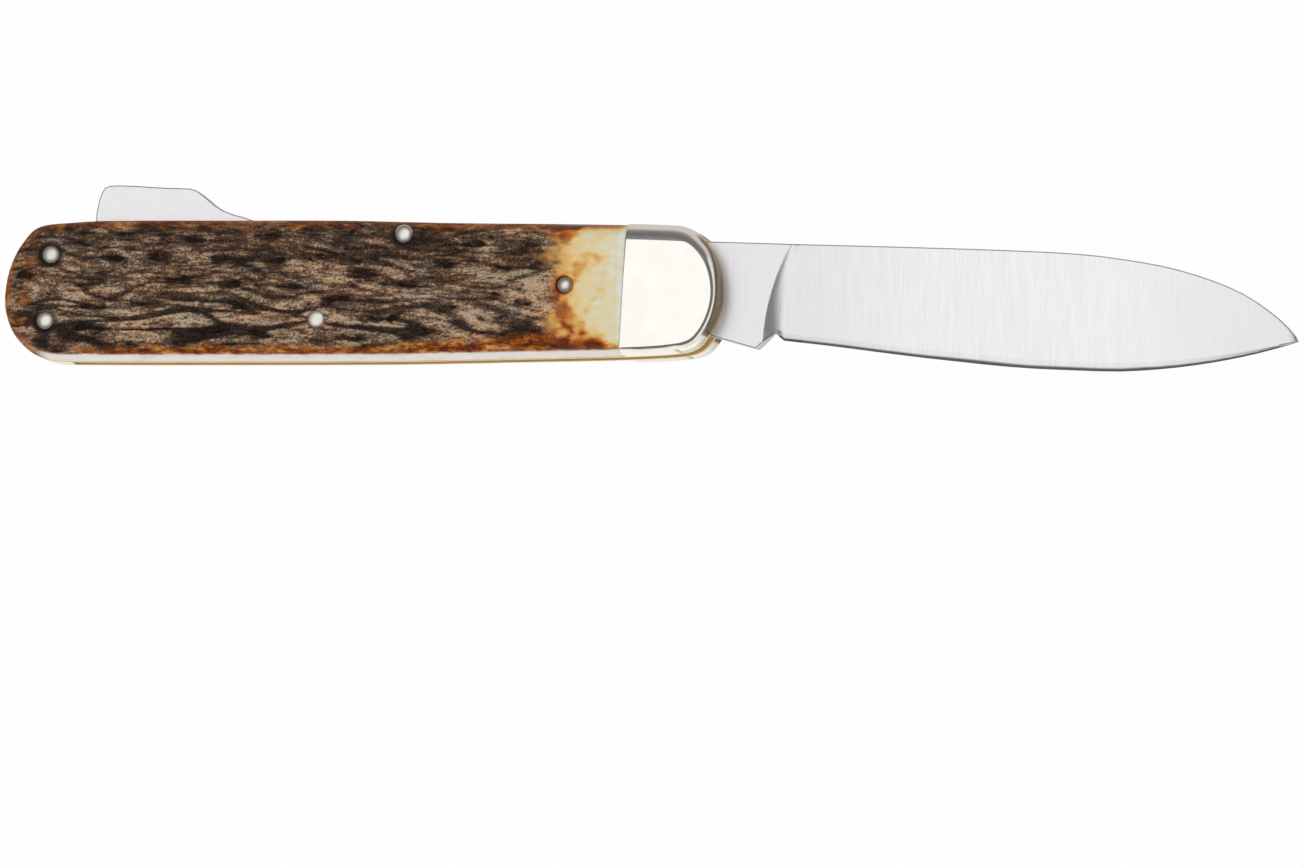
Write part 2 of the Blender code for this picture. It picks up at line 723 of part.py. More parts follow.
def build_handle():
    bolsters = {}
    liners = {}
    scales = {}
    for side in ("near", "far"):
        sign = 1 if side == "near" else -1
        inner = middle + sign * (near_liner_high + seat_gap - middle)
        face = middle + sign * total_thickness / 2
        low, high = (slot_high, near_liner_high) if side == "near" else (far_liner_low, slot_low)
        liners[side] = flat_piece(side + "_liner", handle_outline, low, high, brass)
        scales[side] = crowned_slab(
            side + "_scale", scale_levels_share, scale_round, inner, face, False, stag
        )
        bolsters[side] = crowned_slab(
            side + "_bolster", bolster_levels_share, bolster_round, inner, face, True, nickel_silver
        )

    pivot_low = scale_thickness - pivot_seat_depth
    pivot_high = total_thickness - pivot_low
    cylinder(
        "blade_pivot_pin", (0, 0), pivot_radius, pivot_low + seat_gap, pivot_high - seat_gap, bar_steel
    )
    pivot_hole = cylinder("pivot_hole", (0, 0), pivot_radius + pin_gap, pivot_low, pivot_high)
    for side in ("near", "far"):
        cut(liners[side], pivot_hole)
        cut(bolsters[side], pivot_hole)

    spacer = build_butt_spacer()
    through = {
        "butt_pin_upper": upper_pin_place,
        "butt_pin_lower": lower_pin_place,
        "lock_bar_pin": lock_pin_place,
    }
    for name, place in through.items():
        turned_pin(name, place, nickel_silver)
        hole = pin_hole(name + "_hole", place, shank_radius + pin_gap)
        far_recess, near_recess = head_recesses(name, place)
        cut(scales["far"], far_recess)
        cut(scales["near"], near_recess)
        for side in ("near", "far"):
            cut(liners[side], hole)
            cut(scales[side], hole)
        if name != "lock_bar_pin":
            cut(spacer, hole)

    short = {"front": front_scale_pin_place, "rear": rear_scale_pin_place}
    for end, place in short.items():
        hole = pin_hole(end + "_scale_pin_hole", place, scale_pin_radius + pin_gap)
        for side in ("near", "far"):
            cut(liners[side], hole)
            cut(scales[side], hole)
        spans = {
            "near": (slot_high + scale_pin_drop, total_thickness - scale_pin_drop),
            "far": (scale_pin_drop, slot_low - scale_pin_drop),
        }
        for side, (low, high) in spans.items():
            cylinder(f"{side}_scale_pin_{end}", place, scale_pin_radius, low, high, nickel_silver)
    cut(scales["far"], furrows("far_furrows", 0, -1))
    cut(scales["near"], furrows("near_furrows", total_thickness, 1))


build_handle()
build_lever_spring()
lock_bar = build_lock_bar()
blade = build_blade()

# The blade turns about the pivot's axis and the bar about its pin's, so each has its origin there.
handle = bpy.data.objects.new("handle", None)
knife.objects.link(handle)
for piece in list(knife.objects):
    if piece not in (handle, blade, lock_bar):
        piece.parent = handle

print("lock bar travels", round(math.degrees(engage_angle), 3), "degrees to its notch")
print("lock bar pin at", [round(value * 1000, 4) for value in lock_pin_place], "mm")
print("total thickness", round(total_thickness * 1000, 3), "mm")
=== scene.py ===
import math
import bmesh
import bpy
from mathutils import Matrix, Vector, noise
from mathutils.bvhtree import BVHTree
from mathutils.kdtree import KDTree


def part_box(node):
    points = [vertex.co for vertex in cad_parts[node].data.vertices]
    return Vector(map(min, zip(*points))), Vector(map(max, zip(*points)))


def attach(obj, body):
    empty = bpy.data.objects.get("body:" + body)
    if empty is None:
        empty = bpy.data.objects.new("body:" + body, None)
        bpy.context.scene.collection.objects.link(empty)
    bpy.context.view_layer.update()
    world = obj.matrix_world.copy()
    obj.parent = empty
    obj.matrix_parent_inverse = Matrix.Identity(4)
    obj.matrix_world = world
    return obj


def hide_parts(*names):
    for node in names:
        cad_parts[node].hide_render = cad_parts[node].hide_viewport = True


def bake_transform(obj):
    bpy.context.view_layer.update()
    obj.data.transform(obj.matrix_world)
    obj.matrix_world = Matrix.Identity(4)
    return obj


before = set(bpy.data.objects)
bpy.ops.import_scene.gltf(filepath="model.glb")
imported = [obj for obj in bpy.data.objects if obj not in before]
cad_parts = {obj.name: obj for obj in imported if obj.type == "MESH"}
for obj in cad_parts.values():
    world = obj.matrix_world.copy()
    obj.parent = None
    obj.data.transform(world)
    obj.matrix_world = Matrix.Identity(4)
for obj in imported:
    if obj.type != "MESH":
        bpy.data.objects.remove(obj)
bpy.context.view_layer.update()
scene = bpy.context.scene
scene.view_settings.view_transform = "Standard"
mm = 0.001
print("frame loaded", len(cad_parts), "nodes")


# camera and room

view = {
    "lens": 860,
    "distance": 4.672,
    "towardsCamera": (0.2, -0.1, 0.975),
    "imageRight": (0.979, 0.02, -0.199),
    "aim": (-0.004855, -0.02128, 0.007815),
}


def makeCamera():
    data = bpy.data.cameras.new("camera")
    data.lens = view["lens"]
    data.clip_start = 0.01
    camera = bpy.data.objects.new("camera", data)
    scene.collection.objects.link(camera)
    back = Vector(view["towardsCamera"]).normalized()
    right = Vector(view["imageRight"])
    right = (right - right.dot(back) * back).normalized()
    turn = Matrix((right, back.cross(right), back)).transposed()
    camera.matrix_world = Matrix.Translation(Vector(view["aim"]) + view["distance"] * back) @ turn.to_4x4()
    scene.camera = camera


room = {
    "floorSize": 2.0,
    "floorDrop": 0.0001,
    "floorColour": 0.88,
    "floorGlow": 0.975,  # share of the floor that is plain white to the camera
    "keyPlace": (-0.50, -0.62, 1.05),
    "keySize": 1.1,
    "keyPower": 1.9,
    "sky": [(0.0, 0.37), (0.30, 0.53), (0.62, 0.84), (0.82, 0.94), (1.0, 0.94)],  # height, brightness
    "mirrored": [  # the same as metal sees it: a pale ceiling over dark walls
        (0.0, 0.54), (0.10, 0.38), (0.28, 0.20), (0.50, 0.15),
        (0.74, 0.27), (0.85, 0.46), (0.90, 1.0), (0.93, 1.06),
    ],
    "mirroredFront": [  # and towards the front and the blade, where a pale card stands
        (0.0, 0.95), (0.22, 0.88), (0.36, 0.30), (0.50, 0.13),
        (0.72, 0.17), (0.86, 0.27), (0.94, 0.6), (0.975, 1.06),
    ],
    "cardChange": (0.02, 0.3),  # how far a direction leans to the front before it sees the card
    "paperMirrored": (0.62, 1.0, 0.8),  # the floor as metal sees it: behind, before the handle, by the blade
    "paperChange": (-0.012, -0.007, 0.005, 0.009),  # y from front to back, x from handle to blade
    "paperTint": (1.0, 0.965, 0.89),
}


def newTree(owner):
    owner.use_nodes = True
    tree = owner.node_tree
    tree.nodes.clear()
    return tree


def addNode(tree, kind, **settings):
    node = tree.nodes.new("ShaderNode" + kind)
    for name, value in settings.items():
        setattr(node, name, value)
    return node


def arithmetic(tree, operation, *values):
    node = addNode(tree, "Math", operation=operation)
    for socket, value in zip(node.inputs, values):
        if isinstance(value, bpy.types.NodeSocket):
            tree.links.new(value, socket)
        else:
            socket.default_value = value
    return node.outputs[0]


def softStep(tree, value, fromLow, fromHigh, toLow, toHigh, kind="SMOOTHSTEP"):
    node = addNode(tree, "MapRange", interpolation_type=kind)
    limits = {"From Min": fromLow, "From Max": fromHigh, "To Min": toLow, "To Max": toHigh}
    for name, number in limits.items():
        node.inputs[name].default_value = number
    tree.links.new(value, node.inputs["Value"])
    return node.outputs["Result"]


def mixed(tree, share, first, second, mode="MIX"):
    node = addNode(tree, "Mix", data_type="RGBA", blend_type=mode)
    for socket, value in ((node.inputs[0], share), (node.inputs[6], first), (node.inputs[7], second)):
        if isinstance(value, bpy.types.NodeSocket):
            tree.links.new(value, socket)
        else:
            socket.default_value = value if isinstance(value, float) else (*value, 1)
    return node.outputs[2]


def mixedShaders(tree, *sources):  # the share, then the two shaders
    node = addNode(tree, "MixShader")
    for socket, source in zip(node.inputs, sources):
        tree.links.new(source, socket)
    return node.outputs[0]


def placeParts(tree, kind="Object"):
    split = addNode(tree, "SeparateXYZ")
    tree.links.new(addNode(tree, "TexCoord").outputs[kind], split.inputs[0])
    return split.outputs


def setRamp(ramp, stops):
    elements = ramp.color_ramp.elements
    while len(elements) > 1:
        elements.remove(elements[-1])
    elements[0].position = stops[0][0]
    elements[0].color = (*stops[0][1], 1)
    for place, colour in stops[1:]:
        elements.new(place).color = (*colour, 1)


def ramped(tree, value, stops):
    ramp = addNode(tree, "ValToRGB")
    setRamp(ramp, stops)
    tree.links.new(value, ramp.inputs[0])
    return ramp.outputs[0]


def makeFloor():
    shape = bmesh.new()
    bmesh.ops.create_grid(shape, x_segments=1, y_segments=1, size=room["floorSize"] / 2)
    bmesh.ops.translate(shape, verts=shape.verts, vec=(0, 0, -room["floorDrop"]))
    mesh = bpy.data.meshes.new("floor")
    shape.to_mesh(mesh)
    shape.free()
    floor = bpy.data.objects.new("floor", mesh)
    scene.collection.objects.link(floor)
    material = bpy.data.materials.new("floorPaper")
    tree = newTree(material)
    path = addNode(tree, "LightPath")
    seen = arithmetic(tree, "MAXIMUM", path.outputs["Is Camera Ray"], path.outputs["Is Glossy Ray"])
    seen = arithmetic(tree, "MAXIMUM", seen, path.outputs["Is Transmission Ray"])
    glowShare = arithmetic(tree, "MULTIPLY", seen, room["floorGlow"])
    place = placeParts(tree)
    behind, handle, blade = room["paperMirrored"]
    front, back, left, right = room["paperChange"]
    before = softStep(tree, place["X"], left, right, handle, blade)
    mirrored = mixed(tree, softStep(tree, place["Y"], front, back, 0, 1), before, (behind,) * 3)
    tinted = mixed(tree, 1.0, mirrored, room["paperTint"], "MULTIPLY")
    level = mixed(tree, path.outputs["Is Camera Ray"], tinted, (1, 1, 1))
    paper = addNode(tree, "BsdfDiffuse")
    paper.inputs["Color"].default_value = (room["floorColour"],) * 3 + (1,)
    glow = addNode(tree, "Emission")
    tree.links.new(level, glow.inputs["Color"])
    blend = mixedShaders(tree, glowShare, paper.outputs[0], glow.outputs[0])
    tree.links.new(blend, addNode(tree, "OutputMaterial").inputs[0])
    mesh.materials.append(material)


def makeSky():
    world = bpy.data.worlds.new("room")
    scene.world = world
    tree = newTree(world)
    path = addNode(tree, "LightPath")
    direction = placeParts(tree, "Generated")
    plainSky, mirroredBack, mirroredFront = (
        ramped(tree, direction["Z"], [(height, (level,) * 3) for height, level in room[name]])
        for name in ("sky", "mirrored", "mirroredFront")
    )
    towardsFront = arithmetic(tree, "SUBTRACT", direction["X"], direction["Y"])
    cardShare = softStep(tree, towardsFront, *room["cardChange"], 0, 1)
    mirrored = mixed(tree, cardShare, mirroredBack, mirroredFront)
    level = mixed(tree, path.outputs["Is Glossy Ray"], plainSky, mirrored)
    lit = addNode(tree, "Background")
    tree.links.new(level, lit.inputs["Color"])
    plain = addNode(tree, "Background")
    plain.inputs["Color"].default_value = (1, 1, 1, 1)
    blend = mixedShaders(tree, path.outputs["Is Camera Ray"], lit.outputs[0], plain.outputs[0])
    tree.links.new(blend, addNode(tree, "OutputWorld").inputs[0])


def makeLamp():
    lamp = bpy.data.lights.new("keyLamp", "AREA")
    lamp.size = room["keySize"]
    lamp.energy = room["keyPower"]
    key = bpy.data.objects.new("keyLamp", lamp)
    key.visible_glossy = False
    scene.collection.objects.link(key)
    place = Vector(room["keyPlace"])
    key.matrix_world = Matrix.Translation(place) @ place.to_track_quat("Z", "Y").to_matrix().to_4x4()


makeCamera()
makeFloor()
makeSky()
makeLamp()
print("camera and room ready")


# materials

def printed(red, green, blue):  # a colour as read off a picture, 0 to 255
    return tuple(
        c / 12.92 if c <= 0.04045 else ((c + 0.055) / 1.055) ** 2.4
        for c in (red / 255, green / 255, blue / 255)
    )


def shaded(colour, share):
    return tuple(share * c for c in colour)


def newMaterial(name):
    material = bpy.data.materials.new(name)
    tree = newTree(material)
    shader = addNode(tree, "BsdfPrincipled")
    tree.links.new(shader.outputs[0], addNode(tree, "OutputMaterial").inputs[0])
    return material, tree, shader


def attribute(tree, name):
    return addNode(tree, "Attribute", attribute_name=name).outputs["Fac"]


def stretchedNoise(tree, scale, detail, roughness=0.55):  # scale is turns per millimetre along x, y and z
    coords = addNode(tree, "TexCoord")
    mapping = addNode(tree, "Mapping")
    mapping.inputs["Scale"].default_value = [value / mm for value in scale]
    tree.links.new(coords.outputs["Object"], mapping.inputs[0])
    texture = addNode(tree, "TexNoise")
    texture.inputs["Scale"].default_value = 1
    texture.inputs["Detail"].default_value = detail
    texture.inputs["Roughness"].default_value = roughness
    tree.links.new(mapping.outputs[0], texture.inputs["Vector"])
    return texture.outputs["Fac"]


def ranged(tree, value, fromLow, fromHigh, toLow, toHigh):
    return softStep(tree, value, fromLow, fromHigh, toLow, toHigh, "LINEAR")


def addBump(tree, shader, height, distance, strength=1.0):
    bump = addNode(tree, "Bump")
    bump.inputs["Strength"].default_value = strength
    bump.inputs["Distance"].default_value = distance
    tree.links.new(height, bump.inputs["Height"])
    tree.links.new(bump.outputs[0], shader.inputs["Normal"])


steel = {
    "bladeColour": printed(241, 240, 242),
    # painted sheen: a brighter copy of the blade's colour for the middle of the ground face
    "paintedSheenColour": printed(248, 247, 248),
    "paintedSheenShare": 0.75,
    "paintedSheenReach": ((0.015, 0.040), (0.062, 0.086)),  # where the ground face gains a painted sheen and loses it
    "barColour": printed(247, 246, 246),
    "springColour": printed(150, 152, 158),
    "streaksAcross": (5.0, 0.16, 0.4),  # turns per millimetre, so the lines run down the blade
    "streaksAlong": (0.3, 6.0, 6.0),
    "streakDetail": (5, 0.6),
    "streakShade": 0.91,
    "streakDepth": 0.000003,
    "clouds": (0.12, 0.12, 0.12),
    "cloudShade": 0.96,
    "noiseRange": (0.3, 0.7),  # that a noise's values lie in
    "rimWidth": 0.00016,  # a fine line of painted shade along the outline of a flat
    "paintedRimShade": printed(146, 145, 147),
    "edgeHalf": (0.00008, 0.00014),  # half the thickness, at the cutting edge and behind it
    # painted shade along the sharpened cutting edge
    "paintedEdgeShade": printed(98, 96, 98),
    "tipReach": (0.0010, 0.0003),  # from the tip, where the painted dark edge starts to fade and has faded
    "tipShare": 0.3,
    "bladeRoughness": (0.27, 0.38),
    "barRoughness": (0.28, 0.4),
    "springRoughness": (0.3, 0.45),
}


def paintedBladeLight(tree, shade):  # painted light: a painted sheen brightens the middle of the blade, and painted shade darkens the cutting edge
    low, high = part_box("blade")
    place = placeParts(tree)
    sheenGained, sheenLost = (softStep(tree, place["X"], *reach, 0, 1) for reach in steel["paintedSheenReach"])
    sheenTone = mixed(tree, 1 - steel["paintedSheenShare"], steel["paintedSheenColour"], shade)
    shade = mixed(tree, arithmetic(tree, "SUBTRACT", sheenGained, sheenLost), shade, sheenTone)
    fromMiddle = arithmetic(tree, "SUBTRACT", place["Z"], (low.z + high.z) / 2)
    # where the blade is thinnest, along the cutting edge, painted shade is mixed in
    thin = softStep(tree, arithmetic(tree, "ABSOLUTE", fromMiddle), *steel["edgeHalf"], 1, 0)
    fadeStart, fadeEnd = (high.x - reach for reach in steel["tipReach"])
    beforeTip = softStep(tree, place["X"], fadeStart, fadeEnd, 1, steel["tipShare"])
    return mixed(tree, arithmetic(tree, "MULTIPLY", thin, beforeTip), shade, steel["paintedEdgeShade"])


def brushedSteel(name, colour, streaks, roughness, shadeFurther=None):
    material, tree, shader = newMaterial(name)
    shader.inputs["Metallic"].default_value = 1
    lines = stretchedNoise(tree, streaks, *steel["streakDetail"])
    clouds = stretchedNoise(tree, steel["clouds"], 2)
    streaked = ranged(tree, lines, *steel["noiseRange"], 0, 1)
    tone = mixed(tree, streaked, shaded(colour, steel["streakShade"]), colour)
    clouded = ranged(tree, clouds, *steel["noiseRange"], 0, 0.5)
    shade = mixed(tree, clouded, tone, shaded(colour, steel["cloudShade"]))
    if shadeFurther:
        shade = shadeFurther(tree, shade)
    # painted shade: a darker line along each sharp outline, from the rim layer
    shade = mixed(tree, attribute(tree, "rim"), shade, steel["paintedRimShade"])
    tree.links.new(shade, shader.inputs["Base Color"])
    tree.links.new(ranged(tree, lines, *steel["noiseRange"], *roughness), shader.inputs["Roughness"])
    addBump(tree, shader, lines, steel["streakDepth"])
    return material


polish = {
    "nickelColour": printed(250, 247, 240),
    "nickelRoughness": (0.06, 0.12),
    # painted shade for the bolster's front wall
    "paintedWallShade": printed(174, 162, 147),
    "pinColour": printed(232, 226, 216),
    "pinRoughness": (0.16, 0.3),
    "brassColour": printed(246, 221, 168),
    "brassRoughness": (0.36, 0.5),
    # painted shade for the liners' front ends, beside the bolster
    "paintedFrontShade": printed(120, 98, 66),
    "frontShadeReach": (0.003, 0.008),
    "shadedSpecularTint": printed(180, 169, 155),  # painted reflection: what a shaded wall reflects when it is seen edge on
    "haze": (0.25, 0.25, 0.25),
    "hazeRange": (0.35, 0.7),
    "hazeShade": 0.95,
    "scratches": (1.2, 9.0, 4.0),
    "scratchDepth": 0.0000006,
}


def polishedMetal(name, colour, roughness, paintedShadeColour=None, wherePaintedShade=None):
    material, tree, shader = newMaterial(name)
    shader.inputs["Metallic"].default_value = 1
    haze = stretchedNoise(tree, polish["haze"], 3)
    fine = stretchedNoise(tree, polish["scratches"], 3)
    hazed = ranged(tree, haze, *polish["hazeRange"], 0, 1)
    tone = mixed(tree, hazed, colour, shaded(colour, polish["hazeShade"]))
    # painted shade where the mask is set, with a painted reflection tint
    if wherePaintedShade:
        paintedShadeShare = wherePaintedShade(tree)
        tone = mixed(tree, paintedShadeShare, tone, paintedShadeColour)
        shadedEdgeTint = mixed(tree, paintedShadeShare, (1, 1, 1), polish["shadedSpecularTint"])
        tree.links.new(shadedEdgeTint, shader.inputs["Specular Tint"])
    tree.links.new(tone, shader.inputs["Base Color"])
    tree.links.new(ranged(tree, haze, *steel["noiseRange"], *roughness), shader.inputs["Roughness"])
    addBump(tree, shader, fine, polish["scratchDepth"])
    return material


# where the bolster's front wall gets painted shade
def onShadedWall(tree):
    return attribute(tree, "wall")


# where the liners' front ends get painted shade
def inFrontShade(tree):
    return softStep(tree, placeParts(tree)["X"], *polish["frontShadeReach"], 0, 1)


bladeSteel = brushedSteel(
    "bladeSatinSteel", steel["bladeColour"], steel["streaksAcross"], steel["bladeRoughness"], paintedBladeLight
)
barSteel = brushedSteel("barBrushedSteel", steel["barColour"], steel["streaksAlong"], steel["barRoughness"])
springSteel = brushedSteel(
    "springTemperedSteel", steel["springColour"], steel["streaksAlong"], steel["springRoughness"]
)
nickelSilver = polishedMetal(
    "bolsterNickelSilver", polish["nickelColour"], polish["nickelRoughness"], polish["paintedWallShade"], onShadedWall
)
pinNickel = polishedMetal("pinNickelSilver", polish["pinColour"], polish["pinRoughness"])
linerBrass = polishedMetal(
    "linerBrass", polish["brassColour"], polish["brassRoughness"], polish["paintedFrontShade"], inFrontShade
)
print("metals ready")


# pieces that keep their solid's form, with fine edges

finish = {
    "weld": 0.000002,
    "flatAngle": math.radians(0.4),
    "sharpAngle": math.radians(28),
    "flatLean": 0.5,  # least share of a flat's direction that is up or down
    "bladeRound": 0.00017,
    "barRound": 0.0002,
    "springRound": 0.00008,
    "flatWeight": 90,
}


def copyOf(nodeName):
    shape = bmesh.new()
    shape.from_mesh(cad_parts[nodeName].data)
    bmesh.ops.remove_doubles(shape, verts=shape.verts, dist=finish["weld"])
    return shape


def evenFlats(shape):
    bmesh.ops.dissolve_limit(shape, angle_limit=finish["flatAngle"], verts=shape.verts, edges=shape.edges)


def outlineFlats(shape):  # a narrow face inside each sharp outline, marked for a line of painted shade
    layer = shape.faces.layers.float.new("rim")
    shape.normal_update()
    middle = sum(vert.co.z for vert in shape.verts) / len(shape.verts)
    flats = [
        face for face in shape.faces
        if abs(face.normal.z) > finish["flatLean"]
        and min(abs(vert.co.z - middle) for vert in face.verts) > steel["edgeHalf"][1]
    ]
    rims = bmesh.ops.inset_region(
        shape, faces=flats, thickness=steel["rimWidth"], use_even_offset=False, use_boundary=True,
    )["faces"]
    for face in rims:
        longest = max(edge.calc_length() for edge in face.edges)
        sharp = [
            edge.calc_length() for edge in face.edges if edge.calc_face_angle(0) > finish["sharpAngle"]
        ]
        face[layer] = 1 if sharp and max(sharp) > longest / 2 else 0


def roundSharpEdges(shape, width, angle):
    sharp = [edge for edge in shape.edges if edge.is_manifold and abs(edge.calc_face_angle(0)) > angle]
    bmesh.ops.bevel(
        shape, geom=sharp, offset=width, offset_type="OFFSET", segments=2, profile=0.5,
        affect="EDGES", clamp_overlap=True, material=-1,
    )


def makePiece(shape, name, material, body, slotName, *nodes):
    mesh = bpy.data.meshes.new(name)
    shape.to_mesh(mesh)
    shape.free()
    mesh.shade_smooth()
    mesh.materials.append(material)
    piece = bpy.data.objects.new(name, mesh)
    scene.collection.objects.link(piece)
    if body:
        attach(piece, body)
    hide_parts(*nodes)
    return piece


def evenShading(piece):  # large flat faces keep their own direction
    modifier = piece.modifiers.new("evenShading", "WEIGHTED_NORMAL")
    modifier.keep_sharp = True
    modifier.weight = finish["flatWeight"]


plunge = {  # millimetres; the cut leaves the flat at an edge and runs out hollow into the ground face
    "top": (16.3, 7.8),
    "foot": (12.1, -7.5),
    "bend": 1.9,
    "widths": (1.6, 2.9),  # at the top and at the foot
    "narrowing": 1.7,
    "hollow": 1.6,  # 1 is a flat slope, 2 eases fully into the ground face
    "dip": 0.1,  # below the ground face, growing from the foot to the top
    "dipGrowth": (0.1, 0.85),
    "heel": (15.0, -7.2),
    "bevelShare": 0.93,  # of the way down to the heel, where the sharpened bevel starts
    "bevelHalf": 0.22,
    "past": (0.05, 0.45),  # beyond the cut, where the ground face's height is taken
    "thinnest": 0.2,
    "margins": (0.3, 0.4),
    "across": 0.2,
    "down": 0.5,
}


def ease(low, high, value):
    t = min(max((value - low) / (high - low), 0), 1)
    return t * t * (3 - 2 * t)


def between(ends, share):
    return ends[1] + (ends[0] - ends[1]) * share


def sliceFaces(shape, axis, start, end, step, low, high):  # cuts across an axis, only between low and high
    for i in range(int((end - start) / step) + 1):
        near = shape.faces
        if axis:
            near = [face for face in near if low < face.calc_center_median().x / mm < high]
        parts = {part for face in near for part in (face, *face.edges, *face.verts)}
        place = [0, 0, 0]
        place[axis] = (start + i * step) * mm
        normal = [0, 0, 0]
        normal[axis] = 1
        bmesh.ops.bisect_plane(
            shape, geom=list(parts), plane_co=place, plane_no=normal, dist=finish["weld"]
        )


def hollowPlunge(shape, middle, half):
    surface = BVHTree.FromBMesh(shape)

    def halfAt(x, y):
        hit = surface.ray_cast(Vector((x * mm, y * mm, 1)), Vector((0, 0, -1)))[0]
        return (hit.z - middle) / mm if hit else None

    (topX, topY), (footX, footY) = plunge["top"], plunge["foot"]
    low, high = footX - plunge["margins"][0], topX + plunge["widths"][0] + plunge["margins"][1]
    sliceFaces(shape, 0, low, high, plunge["across"], low, high)
    sliceFaces(shape, 1, footY, topY, plunge["down"], low, high)
    for vert in shape.verts:
        x, y = vert.co.x / mm, vert.co.y / mm
        if not low < x < high or abs(vert.co.z - middle) < plunge["thinnest"] * mm:
            continue
        rise = min(max((y - footY) / (topY - footY), 0), 1)
        edge = footX + (topX - footX) * rise ** plunge["bend"]
        width = between(plunge["widths"], rise ** plunge["narrowing"])
        across = (x - edge) / width
        if not 0 < across < 1:
            continue
        down = (topY - y) / (topY - plunge["heel"][1])
        ground = half - (half - plunge["bevelHalf"]) * min(down / plunge["bevelShare"], 1)
        first, second = plunge["past"]
        past = [halfAt(edge + width + reach, y) for reach in (first, second)]
        if all(past) and past[1] > plunge["bevelHalf"] / 2:
            ground = past[0] + (past[1] - past[0]) * (x - edge - width - first) / (second - first)
        height = ground + (half - ground) * (1 - across) ** plunge["hollow"]
        hump = 6.75 * across * (1 - across) ** 2  # 1 at a third of the way across
        height -= plunge["dip"] * ease(*plunge["dipGrowth"], rise) * hump
        vert.co.z = middle + math.copysign(height, vert.co.z - middle) * mm


def flatSided(nodeName):
    shape = copyOf(nodeName)
    evenFlats(shape)
    outlineFlats(shape)
    return shape


shape = flatSided("blade")
low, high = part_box("blade")
hollowPlunge(shape, (low.z + high.z) / 2, (high.z - low.z) / 2 / mm)
roundSharpEdges(shape, finish["bladeRound"], finish["sharpAngle"])
evenShading(makePiece(shape, "bladeGround", bladeSteel, "blade", "blade_steel", "blade"))

shape = flatSided("lock_bar")
roundSharpEdges(shape, finish["barRound"], finish["sharpAngle"])
evenShading(makePiece(shape, "lockBarLever", barSteel, "lock_bar", "bar_steel", "lock_bar"))
print("blade and lock bar ready")


# bolsters, drawn in from their outline by a smooth curve instead of the solid's levels

bolster = {
    "rounds": [(-1, 0.85), (-0.5, 0.6), (0, 0.7), (0.6, 1.6), (1, 2.7)],  # facing down to up, in mm
    "steps": 6,  # points between two corners of the solid's outline
    "reach": 4,  # points on each side that give the outline's direction
    "evened": 12,  # points on each side that the face's outline is evened over
    "solidRound": 2.1,  # the inset, in mm, whose wall starts at the liner
    "levels": 20,
    "crowding": 1.8,  # of the levels towards the face
    "fullness": 4.6,
    "crease": 1.1,  # 1 meets the flat face at an angle, 2 runs into it smoothly
    "shadedWallFacing": (0.62, 0.74),  # how far a wall faces the blade before it gets painted shade
    "wallShare": (0.74, 0.64),  # of the thickness, where the painted shade starts and is full
    "sharpAngle": math.radians(22),
    "edgeRound": 0.00005,
    "seatSides": 36,
    "seatGap": 0.00003,
}


def alongLine(points, value):
    for (x0, y0), (x1, y1) in zip(points, points[1:]):
        if value < x1:
            return y0 + (y1 - y0) * (value - x0) / (x1 - x0)
    return points[-1][1]


def fineLine(points, steps):  # a smooth curve through the points
    line = []
    padded = [2 * points[0] - points[1]] + points + [2 * points[-1] - points[-2]]
    for a, b, c, d in zip(padded, padded[1:], padded[2:], padded[3:]):
        for i in range(steps):
            t = i / steps
            bend = (2 * a - 5 * b + 4 * c - d) * t**2 + (3 * b - a - 3 * c + d) * t**3
            line.append(0.5 * (2 * b + (c - a) * t + bend))
    return line + [points[-1]]


def openEdges(shape):
    return [edge for edge in shape.edges if edge.is_boundary]


def bolsterOutline(nodeName, low, high, inner, seatRadius):  # clockwise from the joint with the scale
    solid = copyOf(nodeName)
    base = [vert.co.xy for vert in solid.verts if abs(vert.co.z - inner) < finish["weld"]]
    corners = [place.copy() for place in base if place.length > 1.5 * seatRadius]
    solid.free()
    middle = Vector(((low.x + high.x) / 2, 0))
    corners.sort(key=lambda place: -math.atan2(place.y - middle.y, place.x - middle.x))
    upper, lower = corners[0], corners[-1]
    corners = [upper + (upper - corners[1])] + corners + [lower + (lower - corners[-2])]
    return upper, lower, fineLine(corners, bolster["steps"])


def bolsterFaceLine(line):
    faceLine = []
    for i, place in enumerate(line):
        along = line[min(i + bolster["reach"], len(line) - 1)] - line[max(i - bolster["reach"], 0)]
        inward = Vector((along.y, -along.x)).normalized()
        faceLine.append(place + inward * alongLine(bolster["rounds"], -inward.y) * mm)
    reach = bolster["evened"]
    for _ in range(2):
        padded = [faceLine[0]] * reach + faceLine + [faceLine[-1]] * reach
        faceLine = [
            sum(padded[i:i + 2 * reach + 1], Vector((0, 0))) / (2 * reach + 1) for i in range(len(faceLine))
        ]
    return faceLine


def bolsterWall(shape, line, faceLine, inner, face):
    wallShadeLayer = shape.verts.layers.float.new("wall")
    rings = []
    for k in range(bolster["levels"] + 1):
        share = 1 - (1 - k / bolster["levels"]) ** bolster["crowding"]
        inset = 1 - (1 - share ** bolster["fullness"]) ** (1 / bolster["crease"])
        ring = []
        for place, goal in zip(line, faceLine):
            drop = (1 - share) * (min((goal - place).length / mm / bolster["solidRound"], 1) if k else 1)
            vert = shape.verts.new((*place.lerp(goal, inset), face - drop * (face - inner)))
            facing = (place - goal).normalized().x
            # painted shade on the part of the wall that faces the blade
            vert[wallShadeLayer] = ease(*bolster["shadedWallFacing"], facing) * ease(*bolster["wallShare"], share)
            ring.append(vert)
        rings.append(ring)
    for under, over in zip(rings, rings[1:]):
        for i in range(len(line) - 1):
            shape.faces.new((under[i], under[i + 1], over[i + 1], over[i]))
    shape.faces.new(rings[-1])


